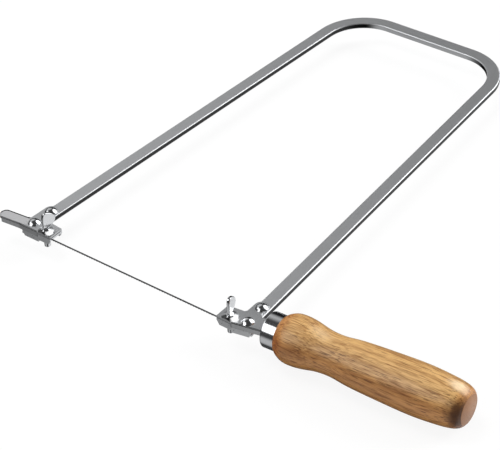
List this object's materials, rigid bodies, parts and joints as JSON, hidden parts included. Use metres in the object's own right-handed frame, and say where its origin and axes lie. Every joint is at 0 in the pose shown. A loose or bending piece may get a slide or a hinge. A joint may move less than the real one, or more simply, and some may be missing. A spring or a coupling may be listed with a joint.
{
  "type": "fret saw",
  "caption": "Hand fret saw: deep flat-bar bow, fine blade held by wing-screw clamps, turned wooden handle on a riveted tang plate.",
  "frame": {"origin": "middle of the back bar's top face, half way between the two corners of the bow", "axes": "+X along the blade from the tongue to the handle, +Y from the blade towards the back of the bow, +Z out of the side that carries the wing screws"},
  "size_m": [0.288, 0.2841, 0.0275],
  "materials": {
    "bow_steel": "nickel plated, satin",
    "plate_steel": "plated pressing",
    "jaw_steel": "dark plated pressing",
    "bright_steel": "bright plated",
    "blade_steel": "blued steel",
    "ferrule_steel": "polished tube",
    "wood": "clear lacquer"
  },
  "bodies": {
    "saw": {"bow": "bow_steel", "front_plate": "plate_steel", "rear_plate": "plate_steel", "front_upper_rivet": "bright_steel", "front_lower_rivet": "bright_steel", "rear_upper_rivet": "bright_steel", "rear_lower_rivet": "bright_steel", "blade": "blade_steel", "ferrule": "ferrule_steel", "handle": "wood"},
    "front_wing_screw": {"front_screw": "bright_steel", "front_wing": "bright_steel"},
    "rear_wing_screw": {"rear_screw": "bright_steel", "rear_wing": "bright_steel"},
    "front_lower_jaw": {"front_jaw": "jaw_steel"},
    "rear_lower_jaw": {"rear_jaw": "jaw_steel"}
  },
  "joints": [
    {"name": "front_screw_turn", "type": "hinge", "parent": "saw", "child": "front_wing_screw", "pos_m": [-0.06205, -0.2742, 0], "axis": [0, 0, 1], "range_deg": [0, 720]},
    {"name": "rear_screw_turn", "type": "hinge", "parent": "saw", "child": "rear_wing_screw", "pos_m": [0.06205, -0.2742, 0], "axis": [0, 0, 1], "range_deg": [0, 720]},
    {"name": "front_jaw_open", "type": "slide", "parent": "saw", "child": "front_lower_jaw", "axis": [0, 0, -1], "range_m": [0, 0.00121]},
    {"name": "rear_jaw_open", "type": "slide", "parent": "saw", "child": "rear_lower_jaw", "axis": [0, 0, -1], "range_m": [0, 0.00121]}
  ],
  "couplings": [
    {"joint": "front_jaw_open", "follows": "front_screw_turn", "m_per_rad": 0.000095493},
    {"joint": "rear_jaw_open", "follows": "rear_screw_turn", "m_per_rad": 0.000095493}
  ]
}
